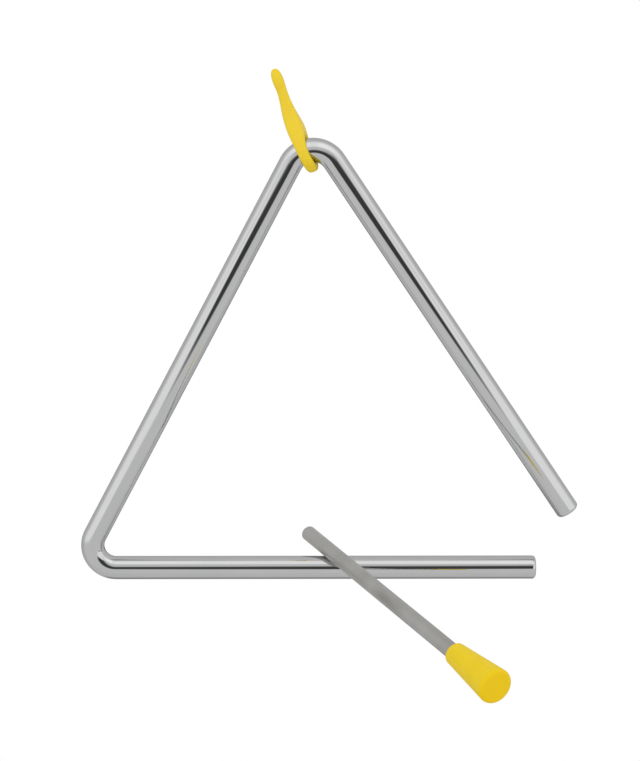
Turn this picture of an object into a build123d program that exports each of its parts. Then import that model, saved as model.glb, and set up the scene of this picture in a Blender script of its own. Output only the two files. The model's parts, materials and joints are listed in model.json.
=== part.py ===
from build123d import *
import math
import os

# Triangle: one round bar bent twice, its ends left apart. Lengths run to the corners of its centre line
rod_diameter = 8.0
heel_bend_radius = 8.0
apex_bend_radius = 8.45
heel_angle = 62.25
apex_angle = 61.6
closed_side = 172.4
striking_leg = 158.2
right_leg = 159.7
rod_end_round = 1.2

# Holder: a moulded teardrop eye on the apex bend, with a tapering stem and a knob
holder_lean = 20.38
holder_turn = 6.0
eye_clearance = 0.6
eye_wall = 2.95
eye_rise = 0.1
eye_width = 3.6
eye_bow = 0.25
eye_foot_bow = 0.95
eye_side_angle = 15.0
eye_hole_rise = 1.4
eye_hole_tip_radius = 2.5
shoulder_width = 5.1
shoulder_rise = 2.3
stem_width = 4.4
stem_bow = 0.32
stem_depth = 4.8
stem_rise = 6.6
neck_width = 3.35
neck_depth = 3.1
neck_rise = 7.2
knob_width = 3.6
knob_depth = 3.8
knob_rise = 3.9
knob_cap = 3.55
holder_edge_round = 1.3

# Beater: a round shaft with a tapered grip. It leans on the striking leg, tip behind and grip in front
shaft_diameter = 5.2
shaft_end_round = 0.4
beater_length = 120.6
tip_overhang = 14.6
grip_length = 24.2
grip_wall = 1.05
grip_flare = 2.25
grip_floor = 7.2
grip_small_round = 0.8
grip_big_round = 1.3
socket_clearance = 0.03
beater_crossing = 86.5
beater_drop = 18.4
beater_reach = 60.0
strike_gap = 0.3

# One overrun serves all cuts
overrun = 1.0

# A round on an edge takes at most this share of the wall that carries it
round_share = 0.48

rod_radius = rod_diameter / 2
shaft_radius = shaft_diameter / 2
socket_radius = shaft_radius + socket_clearance
socket_depth = grip_length - grip_floor
grip_small_radius = socket_radius + grip_wall
grip_big_radius = grip_small_radius + grip_flare

# Heights on the holder, above the rod's centre
eye_radius = rod_radius + eye_clearance
eye_outer_radius = eye_radius + eye_wall
eye_hole_height = rod_radius + eye_hole_rise
shoulder_height = eye_hole_height + shoulder_rise
stem_height = shoulder_height + stem_rise
neck_height = stem_height + neck_rise
knob_height = neck_height + knob_rise
holder_height = knob_height + knob_cap


def flat_direction(degrees):
    """Unit direction in the plane of the triangle, turned from +X towards +Z."""
    return Vector(math.cos(math.radians(degrees)), 0, math.sin(math.radians(degrees)))


# Places. The origin is the neck of the holder, where it is held, and everything else hangs from it
along_rod = flat_direction(holder_lean)
outward = flat_direction(90 + holder_lean)
eye_turn = math.radians(holder_turn)
eye_axis = along_rod * math.cos(eye_turn) - Vector(0, math.sin(eye_turn), 0)
eye_across = outward.cross(eye_axis)
eye_centre = outward * -neck_height
apex_bend_centre = eye_centre - outward * apex_bend_radius

bottom_direction = flat_direction(0)
closed_direction = flat_direction(heel_angle)
right_direction = flat_direction(heel_angle + apex_angle - 180)
apex_bisector = (right_direction - closed_direction).normalized()
apex_corner = apex_bend_centre - apex_bisector * (apex_bend_radius / math.sin(math.radians(apex_angle / 2)))
heel_corner = apex_corner - closed_direction * closed_side
bottom_end = heel_corner + bottom_direction * striking_leg
right_end = apex_corner + right_direction * right_leg

beater_direction = Vector(
    math.cos(math.radians(beater_reach)) * math.cos(math.radians(beater_drop)),
    -math.sin(math.radians(beater_reach)),
    -math.cos(math.radians(beater_reach)) * math.sin(math.radians(beater_drop)),
)
lift_direction = beater_direction.cross(bottom_direction).normalized()
strike_axis = lift_direction.cross(beater_direction)
crossing_point = heel_corner + bottom_direction * beater_crossing
touch_point = crossing_point + lift_direction * (rod_radius + shaft_radius + strike_gap)
shaft_tip = touch_point - beater_direction * tip_overhang
grip_start = shaft_tip + beater_direction * (beater_length - grip_length)
grip_middle = grip_start + beater_direction * (grip_length / 2)
grip_end = grip_start + beater_direction * grip_length


def sharp_edges(solid, least_turn=20.0, middle_share=0.5):
    """Edges where two faces meet at an angle, without the seams between faces that run on smoothly."""
    faces = solid.faces()
    found = ShapeList()
    for edge in solid.edges():
        middle = edge @ middle_share
        beside = [face for face in faces if edge in face.edges()]
        if len(beside) == 2:
            turn = beside[0].normal_at(middle).get_angle(beside[1].normal_at(middle))
            if turn > least_turn:
                found.append(edge)
    return found


def triangle_rod():
    """The bar swept along its centre line, with rounded ends."""
    radii = [heel_bend_radius, apex_bend_radius]
    path = FilletPolyline(bottom_end, heel_corner, apex_corner, right_end, radius=radii)
    section = Plane(origin=path @ 0, z_dir=path % 0) * Circle(rod_radius)
    bar = sweep(section, path=path)
    return fillet(sharp_edges(bar.solid()), min(rod_end_round, rod_diameter * round_share))


def holder_side_outline():
    """The holder seen along the rod: a teardrop around the hole that narrows into stem, neck and knob."""
    eye = CenterArc((0, eye_rise), eye_outer_radius, eye_side_angle, -180 - 2 * eye_side_angle)
    rising = [
        (stem_depth / 2, stem_height),
        (neck_depth / 2, neck_height),
        (knob_depth / 2, knob_height),
    ]
    falling = [(-across, height) for across, height in reversed(rising)]
    both_sides = [eye @ 0, *rising, (0, holder_height), *falling, eye @ 1]
    stem = Spline(*both_sides, tangents=[eye % 0 * -1, eye % 1 * -1])
    return make_face([eye, stem])


def eye_hole_outline():
    """The eye's hole: round about the rod below, and drawn in above to a narrower round top."""
    tip_centre = eye_hole_height - eye_hole_tip_radius
    tangent_angle = math.degrees(math.asin((eye_radius - eye_hole_tip_radius) / tip_centre))
    seat = CenterArc((0, 0), eye_radius, tangent_angle, -180 - 2 * tangent_angle)
    tip = CenterArc((0, tip_centre), eye_hole_tip_radius, tangent_angle, 180 - 2 * tangent_angle)
    return make_face([seat, Line(seat @ 0, tip @ 0), tip, Line(tip @ 1, seat @ 1)])


def holder_front_outline():
    """The holder seen square to its eye: strand to one side, stem to the other, slim neck and knob."""
    foot = -eye_outer_radius - overrun
    head = holder_height + overrun
    outline = [
        Line((eye_foot_bow - eye_width / 2, foot), (eye_foot_bow + eye_width / 2, foot)),
        Line((-knob_width / 2, head), (knob_width / 2, head)),
    ]
    for side in (-1, 1):
        edge = Spline(
            (eye_bow + side * eye_width / 2, 0),
            (side * shoulder_width / 2, shoulder_height),
            (side * stem_width / 2 - stem_bow, stem_height),
            (side * neck_width / 2, neck_height),
            (side * knob_width / 2, knob_height),
            tangents=[(eye_bow - eye_foot_bow, -foot), (0, 1)],
        )
        outline += [Line((eye_foot_bow + side * eye_width / 2, foot), edge @ 0), edge]
        outline.append(Line(edge @ 1, (side * knob_width / 2, head)))
    return make_face(outline)


def holder():
    """Both outlines extruded through each other, with every edge rounded as moulded plastic is."""
    side_plane = Plane(origin=eye_centre, x_dir=eye_across, z_dir=eye_axis)
    front_plane = Plane(origin=eye_centre, x_dir=eye_axis, z_dir=eye_across * -1)
    side = extrude(side_plane * (holder_side_outline() - eye_hole_outline()), shoulder_width, both=True)
    front = extrude(front_plane * holder_front_outline(), eye_outer_radius + overrun, both=True)
    body = (side & front).solid()
    slimmest = min(eye_wall - eye_rise, eye_width, neck_width, neck_depth, knob_width)
    return fillet(sharp_edges(body), min(holder_edge_round, slimmest * round_share))


def beater_shaft():
    """The round rod, from its free tip to the floor of the grip's socket."""
    length = beater_length - grip_length + socket_depth
    rod = Plane(origin=shaft_tip, z_dir=beater_direction) * extrude(Circle(shaft_radius), length)
    return fillet(sharp_edges(rod.solid()), min(shaft_end_round, shaft_diameter * round_share))


def beater_grip():
    """The tapered grip, with a blind socket that holds the shaft."""
    taper = Solid.make_cone(grip_small_radius, grip_big_radius, grip_length)
    big_rim = taper.edges().filter_by(GeomType.CIRCLE).sort_by(Axis.Z)[-1]
    taper = taper.fillet(min(grip_big_round, grip_big_radius * round_share), [big_rim])
    small_rim = taper.edges().filter_by(GeomType.CIRCLE).sort_by(Axis.Z)[0]
    taper = taper.fillet(min(grip_small_round, 2 * grip_wall * round_share), [small_rim])
    socket = extrude(Circle(socket_radius), socket_depth)
    return Plane(origin=grip_start, z_dir=beater_direction) * (taper - socket)


nodes = {
    "triangle_rod": triangle_rod,
    "holder": holder,
    "beater_shaft": beater_shaft,
    "beater_grip": beater_grip,
}

if __name__ == "__main__":
    os.makedirs("parts", exist_ok=True)
    for name, make in nodes.items():
        export_step(make(), f"parts/{name}.step")
    places = {
        "eye centre, on the swing axis": eye_centre,
        "swing axis": eye_axis,
        "stem's direction": outward,
        "grip middle, on the strike axis": grip_middle,
        "strike axis": strike_axis,
        "right leg's end": right_end,
        "right leg's direction": right_direction,
        "grip's end face": grip_end,
        "beater's direction": beater_direction,
        "shaft tip": shaft_tip,
        "heel corner": heel_corner,
        "apex corner": apex_corner,
    }
    for words, place in places.items():
        print(words, [round(value, 5) for value in place])
    bend_run = apex_bend_radius / math.tan(math.radians(apex_angle / 2))
    print("right leg's straight wall", [round(right_leg - bend_run - rod_end_round, 5)])
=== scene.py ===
import json
import math

import bpy
from mathutils import Matrix, Vector

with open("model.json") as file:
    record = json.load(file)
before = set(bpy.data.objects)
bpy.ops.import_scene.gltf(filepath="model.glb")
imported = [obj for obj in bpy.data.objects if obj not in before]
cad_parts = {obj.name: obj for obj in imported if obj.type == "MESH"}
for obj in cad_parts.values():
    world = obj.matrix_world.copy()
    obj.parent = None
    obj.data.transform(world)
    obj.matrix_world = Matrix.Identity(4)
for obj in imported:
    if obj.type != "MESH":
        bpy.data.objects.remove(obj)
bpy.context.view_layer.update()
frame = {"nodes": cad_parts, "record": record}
scene = bpy.context.scene
nodes = frame["nodes"]
mounts = {mount["name"]: mount for mount in frame["record"]["mounts"]}
upward = Vector((0, 0, 1))
white = (1, 1, 1, 1)

# Camera, in metres and degrees. The lens is for a 36 mm frame along the picture's long side
camera_azimuth = -0.6
camera_elevation = 12.2
camera_roll = 0.1003
camera_distance = 0.750
camera_target = Vector((0.0128, 0.0, -0.09803))
camera_frame = 36.0
camera_lens = 104.45
camera_near = 0.01

# Below, a noise is its scale per metre and its detail, and a bump is its strength and its height in metres.
# Two tones, or two values of roughness, belong to 0 and 1 of a noise. A fade gives the place where a share
# is 0 and the place where it is 1

# Chrome
haze_noise = 90.0, 3.0
peel_noise = 2200.0, 2.0
peel_bump = 0.25, 0.000004
chrome_tones = (0.535, 0.54, 0.545), (0.57, 0.57, 0.565)
chrome_roughness = 0.02, 0.07
chrome_edge_tint = (0.72, 0.72, 0.73, 1.0)

# Plated shaft. A dark streak of painted shade lies on its lower left side, where the shaft is in shade, and
# its reach runs along the shaft
line_noise = 2500.0, 2.0
line_bump = 0.3, 0.00002
line_squeeze = 0.97
stain_noise = 70.0, 4.0
shaft_tones = (0.33, 0.325, 0.31), (0.56, 0.555, 0.54)
shaft_roughness = 0.34, 0.46
painted_shade_tone = (0.33, 0.325, 0.305)
painted_shade_reach = 0.0762
painted_shade_end_fade = 0.011, 0.001
painted_shade_left = 0.62
painted_shade_down = 0.78
painted_shade_inner_fade = -0.002, 0.0006
painted_shade_outer_fade = 0.0026, 0.0013

# Yellow plastic. Its end tone is painted light: a deeper, redder yellow on the grip's flat end that stands in
# for the light the end lacks and for its weaker white sheen, and that fade is counted from the end
cloud_noise = 160.0, 4.0
skin_noise = 1800.0, 3.0
skin_bump = 0.15, 0.00002
plastic_tones = (0.785, 0.56, 0.004), (0.845, 0.615, 0.011)
plastic_roughness = 0.42, 0.56
plastic_scatter = 0.1
plastic_scatter_radius = (1.0, 0.6, 0.1)
plastic_scatter_scale = 0.0015
painted_end_light_tone = (0.85, 0.575, 0.0)
painted_end_light_fade = -0.0013, -0.0002
holder_gloss = 0.24
grip_gloss = 0.1

# Light levels, where 1 is white, and the lamp's power in watts
backdrop_level = 1.0
room_level = 0.89
key_power = 1.15
front_cloth_level = 0.81
back_cloth_level = 0.7
hollow_level = 0.062
card_level = 0.4

# Floor, well below the hanging object, and lamp, in metres and degrees
floor_height = -0.45
floor_radius = 0.5
floor_rim_width = 0.25
floor_corners = 96
floor_tone = (0.8, 0.8, 0.8, 1.0)
key_distance = 0.9
key_elevation = 45.0
key_size = 0.6

# Tent of soft light. Its fades are on the unit direction from its middle. The gains are added high up in
# front, in the middle and to the sides, and the low levels are below the horizon, behind and in front
tent_radius = 1.3
tent_rings = 36
tent_corners = 72
tent_front_fade = 0.35, -0.35
tent_horizon_fade = -0.23, -0.05
tent_high_fade = 0.4, 0.85
tent_wide_fade = 0.03, 0.25
tent_front_level = 1.18
tent_back_level = 0.72
tent_high_gains = 0.04, 0.2
tent_low_levels = 0.68, 0.83

# Tent walls, in metres: square to the line of sight, at a distance from the camera's target, with a dark
# opening and cloth under and over it. Sides are left, right, foot and head, on the wall itself. The opening's
# head is level left of its bend and tilted right of it
front_wall_distance = 0.39
back_wall_distance = -0.5
wall_sides = (-0.6, 0.6, -0.5, 0.3)
opening_middle = -0.03
opening_half_width = 0.22
opening_depth = 0.135
opening_power = 2.2
opening_fade = 1.55, 0.58
opening_foot_tilt = 0.07
opening_head_tilt = -0.22
opening_head_bend = -0.055
opening_head_fade = 0.122, -0.018
under_fade = -0.1, -0.2
under_side_fade = 0.34, 0.23
over_foot_fade = 0.04, 0.11
over_head_fade = 0.27, 0.21
over_side_fade = 0.35, 0.15
over_side_shares = 0.4, 1.0

# Card, level and below the object, in metres. Sides are left, right, near and far
card_height = -0.42
card_sides = (-0.2, 0.2, -0.05, 0.4)
card_side_fade = 0.18, 0.12
card_near_fade = -0.03, 0.12


def direction(azimuth, elevation):
    """Unit vector from the object towards a place round it: azimuth 0 is in front, on the -Y side."""
    turn, rise = math.radians(azimuth), math.radians(elevation)
    return Vector((math.sin(turn) * math.cos(rise), -math.cos(turn) * math.cos(rise), math.sin(rise)))


def facing(place, target, roll=0.0):
    """Matrix of something at place that looks along its own -Z at the target."""
    back = (place - target).normalized()
    right = upward.cross(back).normalized()
    up = back.cross(right)
    turn = math.radians(roll)
    x_axis = right * math.cos(turn) + up * math.sin(turn)
    y_axis = up * math.cos(turn) - right * math.sin(turn)
    columns = Matrix((x_axis, y_axis, back)).transposed().to_4x4()
    return Matrix.Translation(place) @ columns


def on_sight_line(distance):
    """Matrix of something on the camera's line of sight that looks at the camera's target."""
    back = direction(camera_azimuth, camera_elevation)
    return facing(camera_target + back * distance, camera_target, camera_roll)


def make_camera():
    """The camera at the photograph's viewing angle."""
    data = bpy.data.cameras.new("camera")
    data.sensor_width = camera_frame
    data.lens = camera_lens
    data.clip_start = camera_near
    camera = bpy.data.objects.new("camera", data)
    scene.collection.objects.link(camera)
    camera.matrix_world = on_sight_line(camera_distance)
    scene.camera = camera


class Shader:
    """A node tree under construction, with short calls to add, set and join its nodes."""

    def __init__(self, owner):
        owner.use_nodes = True
        self.tree = owner.node_tree
        self.tree.nodes.clear()

    def add(self, kind, values=None, **settings):
        """A node of that kind. A value that is another node's output is linked."""
        node = self.tree.nodes.new(kind)
        for name, setting in settings.items():
            setattr(node, name, setting)
        for name, value in (values or {}).items():
            if isinstance(value, bpy.types.NodeSocket):
                self.tree.links.new(value, node.inputs[name])
            else:
                node.inputs[name].default_value = value
        return node

    def math(self, operation, *values):
        """The output of a Math node."""
        return self.add("ShaderNodeMath", dict(enumerate(values)), operation=operation).outputs[0]

    def vector(self, operation, values, output="Vector"):
        """The output of a Vector Math node."""
        return self.add("ShaderNodeVectorMath", values, operation=operation).outputs[output]

    def place(self):
        """Position on the object, in metres in its own frame."""
        return self.add("ShaderNodeTexCoord").outputs["Object"]

    def axes(self, vector):
        """The X, Y and Z of a vector."""
        return self.add("ShaderNodeSeparateXYZ", {0: vector}).outputs

    def reach(self, place, axis):
        """How far a position lies along an axis, from the origin."""
        return self.vector("DOT_PRODUCT", {0: place, 1: axis}, "Value")

    def noise(self, place, scale, detail):
        """A noise texture's grey output, about 0.5 on average."""
        values = {"Vector": place, "Scale": scale, "Detail": detail}
        return self.add("ShaderNodeTexNoise", values).outputs["Fac"]

    def bump(self, height, strength, distance):
        """A normal made uneven by a height from 0 to 1."""
        values = {"Height": height, "Strength": strength, "Distance": distance}
        return self.add("ShaderNodeBump", values).outputs[0]

    def span(self, value, low, high):
        """A 0 to 1 value spread over a range."""
        return self.add("ShaderNodeMapRange", {"Value": value, "To Min": low, "To Max": high}).outputs[0]

    def smooth(self, value, start, end):
        """0 before the start and 1 past the end, eased between them."""
        values = {"Value": value, "From Min": start, "From Max": end}
        return self.add("ShaderNodeMapRange", values, interpolation_type="SMOOTHSTEP").outputs[0]

    def mix(self, factor, first, second):
        """A number between two numbers."""
        return self.add("ShaderNodeMix", {"Factor": factor, "A": first, "B": second}).outputs[0]

    def blend(self, factor, first, second):
        """A colour between two colours, each plain or another node's output."""
        mix = self.add("ShaderNodeMix", {"Factor": factor}, data_type="RGBA")
        # A Mix node has sockets of one name for each type of data, and these are the ones for colours
        for socket, colour in ((mix.inputs[6], first), (mix.inputs[7], second)):
            if isinstance(colour, bpy.types.NodeSocket):
                self.tree.links.new(colour, socket)
            else:
                socket.default_value = (*colour, 1.0)
        return mix.outputs[2]

    def glow(self, level):
        """A surface of plain light."""
        return self.add("ShaderNodeEmission", {"Strength": level}).outputs[0]

    def clear(self):
        """A surface that isn't seen."""
        return self.add("ShaderNodeBsdfTransparent").outputs[0]

    def cover(self, share, under, over):
        """A surface with a share of another laid over it."""
        return self.add("ShaderNodeMixShader", {0: share, 1: under, 2: over}).outputs[0]

    def finish(self, surface):
        """The material's output, which shows that surface."""
        self.add("ShaderNodeOutputMaterial", {"Surface": surface})

    def finish_solid(self, values):
        """The material's output, which shows a Principled surface with these values."""
        self.finish(self.add("ShaderNodeBsdfPrincipled", values).outputs[0])


def new_material(name):
    """An empty material, and the shader that fills it."""
    material = bpy.data.materials.new(name)
    return material, Shader(material)


def chrome():
    """Polished chrome plate: slight haze in patches and a very fine orange peel."""
    material, shader = new_material("chromed_bar")
    place = shader.place()
    haze = shader.noise(place, *haze_noise)
    peel = shader.noise(place, *peel_noise)
    shader.finish_solid({
        "Base Color": shader.blend(haze, *chrome_tones),
        "Metallic": 1.0,
        "Roughness": shader.span(haze, *chrome_roughness),
        "Specular Tint": chrome_edge_tint,
        "Normal": shader.bump(peel, *peel_bump),
    })
    return material


def plated_steel(butt):
    """Dull plated rod: drawn lines along its length, faint stains, and painted shade, a dark streak on one
    side.
    """
    material, shader = new_material("plated_shaft")
    place = shader.place()
    point, along = Vector(butt["pos_m"]), Vector(butt["axis"])
    reach = shader.reach(place, along)
    # Squeezed along the shaft, a noise is drawn out into lines
    lengthwise = shader.vector("SCALE", {0: along, "Scale": reach})
    squeezed = shader.vector("MULTIPLY_ADD", {0: lengthwise, 1: (-line_squeeze,) * 3, 2: place})
    lines = shader.noise(squeezed, *line_noise)
    stain = shader.noise(place, *stain_noise)
    # Painted shade: a short patch of the lower left side is darkened, as a side in shade
    left = along.cross(upward).normalized()
    painted_shade_side = left * painted_shade_left + along.cross(left) * painted_shade_down
    side = shader.math("SUBTRACT", shader.reach(place, painted_shade_side), point.dot(painted_shade_side))
    inner, outer = shader.smooth(side, *painted_shade_inner_fade), shader.smooth(side, *painted_shade_outer_fade)
    apart = shader.math("ABSOLUTE", shader.math("SUBTRACT", reach, painted_shade_reach))
    ends = shader.smooth(apart, *painted_shade_end_fade)
    painted_shade = shader.math("MULTIPLY", ends, shader.math("MULTIPLY", inner, outer))
    shader.finish_solid({
        "Base Color": shader.blend(painted_shade, shader.blend(stain, *shaft_tones), painted_shade_tone),
        "Metallic": 1.0,
        "Roughness": shader.span(lines, *shaft_roughness),
        "Normal": shader.bump(lines, *line_bump),
    })
    return material


def yellow_plastic(name, gloss, butt=None):
    """Satin moulded plastic: clouded yellow with a fine skin, and painted light, a deeper tone, on a flat
    end, if given.
    """
    material, shader = new_material(name)
    place = shader.place()
    cloud = shader.noise(place, *cloud_noise)
    skin = shader.noise(place, *skin_noise)
    colour = shader.blend(cloud, *plastic_tones)
    if butt:
        point, along = Vector(butt["pos_m"]), Vector(butt["axis"])
        # Painted light: the flat end takes a deeper tone, for the light and sheen it lacks
        start, full = (point.dot(along) + inset for inset in painted_end_light_fade)
        colour = shader.blend(shader.smooth(shader.reach(place, along), start, full), colour, painted_end_light_tone)
    shader.finish_solid({
        "Base Color": colour,
        "Roughness": shader.span(skin, *plastic_roughness),
        "Specular IOR Level": gloss,
        "Subsurface Weight": plastic_scatter,
        "Subsurface Radius": plastic_scatter_radius,
        "Subsurface Scale": plastic_scatter_scale,
        "Normal": shader.bump(skin, *skin_bump),
    })
    return material


def dress(node, material):
    """Gives a CAD node its material."""
    nodes[node].data.materials.clear()
    nodes[node].data.materials.append(material)


def stage_mesh(name, points, faces, material):
    """A piece of the stage, which isn't part of the object."""
    mesh = bpy.data.meshes.new(name)
    mesh.from_pydata(points, [], faces)
    mesh.materials.append(material)
    piece = bpy.data.objects.new(name, mesh)
    scene.collection.objects.link(piece)
    return piece


def stage_sheet(name, outline, material):
    """A flat piece of the stage, with one face."""
    return stage_mesh(name, outline, [range(len(outline))], material)


def rectangle(left, right, near, far):
    """The corners of a rectangle on its own XY plane."""
    return [(left, near, 0), (right, near, 0), (right, far, 0), (left, far, 0)]


def only_reflected(piece):
    """The camera and the soft light pass through it: it is seen in polished metal alone."""
    piece.visible_camera = False
    piece.visible_diffuse = False
    piece.visible_shadow = False


def make_world():
    """White to the camera and in reflections, and a softer level as light."""
    world = bpy.data.worlds.new("studio")
    scene.world = world
    shader = Shader(world)
    path = shader.add("ShaderNodeLightPath").outputs
    seen = shader.math("MAXIMUM", path["Is Camera Ray"], path["Is Glossy Ray"])
    seen = shader.math("MAXIMUM", seen, path["Is Transmission Ray"])
    level = shader.span(seen, room_level, backdrop_level)
    backdrop = shader.add("ShaderNodeBackground", {"Color": white, "Strength": level})
    shader.add("ShaderNodeOutputWorld", {"Surface": backdrop.outputs[0]})


def make_floor():
    """A round pale floor that fades out towards its rim."""
    material, shader = new_material("floor")
    radius = shader.vector("LENGTH", {0: shader.place()}, "Value")
    rim = shader.smooth(radius, floor_radius - floor_rim_width, floor_radius)
    pale = shader.add("ShaderNodeBsdfDiffuse", {"Color": floor_tone}).outputs[0]
    shader.finish(shader.cover(rim, pale, shader.clear()))
    turns = [math.tau * corner / floor_corners for corner in range(floor_corners)]
    outline = [(floor_radius * math.cos(turn), floor_radius * math.sin(turn), 0) for turn in turns]
    floor = stage_sheet("floor", outline, material)
    floor.location.z = floor_height


def make_tent():
    """A tent of soft light: brightest high up in front, grey below the horizon and dimmer behind."""
    material, shader = new_material("tent")
    outward = shader.axes(shader.vector("NORMALIZE", {0: shader.place()}))
    front = shader.smooth(outward["Y"], *tent_front_fade)
    high = shader.smooth(outward["Z"], *tent_high_fade)
    wide = shader.smooth(shader.math("ABSOLUTE", outward["X"]), *tent_wide_fade)
    gain = shader.span(wide, *tent_high_gains)
    above = shader.mix(front, tent_back_level, shader.math("MULTIPLY_ADD", high, gain, tent_front_level))
    below = shader.mix(front, *tent_low_levels)
    level = shader.mix(shader.smooth(outward["Z"], *tent_horizon_fade), below, above)
    shader.finish(shader.glow(level))
    points, faces = [], []
    for ring in range(tent_rings + 1):
        for corner in range(tent_corners):
            points.append(direction(360 * corner / tent_corners, -90 + 180 * ring / tent_rings) * tent_radius)
    for ring in range(tent_rings):
        for corner in range(tent_corners):
            face = (ring, corner), (ring, corner + 1), (ring + 1, corner + 1), (ring + 1, corner)
            faces.append([row * tent_corners + column % tent_corners for row, column in face])
    tent = stage_mesh("tent", points, faces, material)
    tent.location = camera_target
    only_reflected(tent)


def make_wall(name, distance, cloth_level):
    """A wall of the tent: a dark opening, round below and soft on top, with grey cloth under and over it."""
    material, shader = new_material(name)
    across = shader.axes(shader.place())
    side = shader.math("ABSOLUTE", across["X"])
    low = shader.math("MULTIPLY_ADD", across["X"], opening_foot_tilt, across["Y"])
    depth = shader.math("MAXIMUM", shader.math("SUBTRACT", opening_middle, low), 0.0)
    width_part = shader.math("POWER", shader.math("DIVIDE", side, opening_half_width), opening_power)
    depth_part = shader.math("POWER", shader.math("DIVIDE", depth, opening_depth), opening_power)
    inside = shader.smooth(shader.math("ADD", width_part, depth_part), *opening_fade)
    past_bend = shader.math("MAXIMUM", across["X"], opening_head_bend)
    high = shader.math("MULTIPLY_ADD", past_bend, opening_head_tilt, across["Y"])
    dark = shader.math("MULTIPLY", inside, shader.smooth(high, *opening_head_fade))
    under = shader.math("MULTIPLY", shader.smooth(low, *under_fade), shader.smooth(side, *under_side_fade))
    foot, head = shader.smooth(across["Y"], *over_foot_fade), shader.smooth(across["Y"], *over_head_fade)
    sides = shader.span(shader.smooth(side, *over_side_fade), *over_side_shares)
    over = shader.math("MULTIPLY", shader.math("MULTIPLY", foot, head), sides)
    cloth = shader.cover(shader.math("MAXIMUM", under, over), shader.clear(), shader.glow(cloth_level))
    shader.finish(shader.cover(dark, cloth, shader.glow(hollow_level)))
    wall = stage_sheet(name, rectangle(*wall_sides), material)
    wall.matrix_world = on_sight_line(distance)
    only_reflected(wall)


def make_card():
    """A grey card low behind the object, which darkens the underside of the polished bar."""
    material, shader = new_material("card")
    across = shader.axes(shader.place())
    side = shader.smooth(shader.math("ABSOLUTE", across["X"]), *card_side_fade)
    share = shader.math("MULTIPLY", side, shader.smooth(across["Y"], *card_near_fade))
    shader.finish(shader.cover(share, shader.clear(), shader.glow(card_level)))
    card = stage_sheet("card", rectangle(*card_sides), material)
    card.location = (camera_target.x, 0, card_height)
    only_reflected(card)


def make_key():
    """One soft lamp above the camera, which isn't seen in reflections."""
    lamp = bpy.data.lights.new("key", "AREA")
    lamp.size = key_size
    lamp.energy = key_power
    key = bpy.data.objects.new("key", lamp)
    scene.collection.objects.link(key)
    place = camera_target + direction(camera_azimuth, key_elevation) * key_distance
    key.matrix_world = facing(place, camera_target)
    key.visible_glossy = False
    key.visible_camera = False


make_camera()
make_world()
make_floor()
make_tent()
make_wall("front_wall", front_wall_distance, front_cloth_level)
make_wall("back_wall", back_wall_distance, back_cloth_level)
make_card()
make_key()
dress("triangle_rod", chrome())
dress("beater_shaft", plated_steel(mounts["beater_butt"]))
dress("holder", yellow_plastic("holder_plastic", holder_gloss))
dress("beater_grip", yellow_plastic("grip_plastic", grip_gloss, mounts["beater_butt"]))
scene.view_settings.view_transform = "Standard"
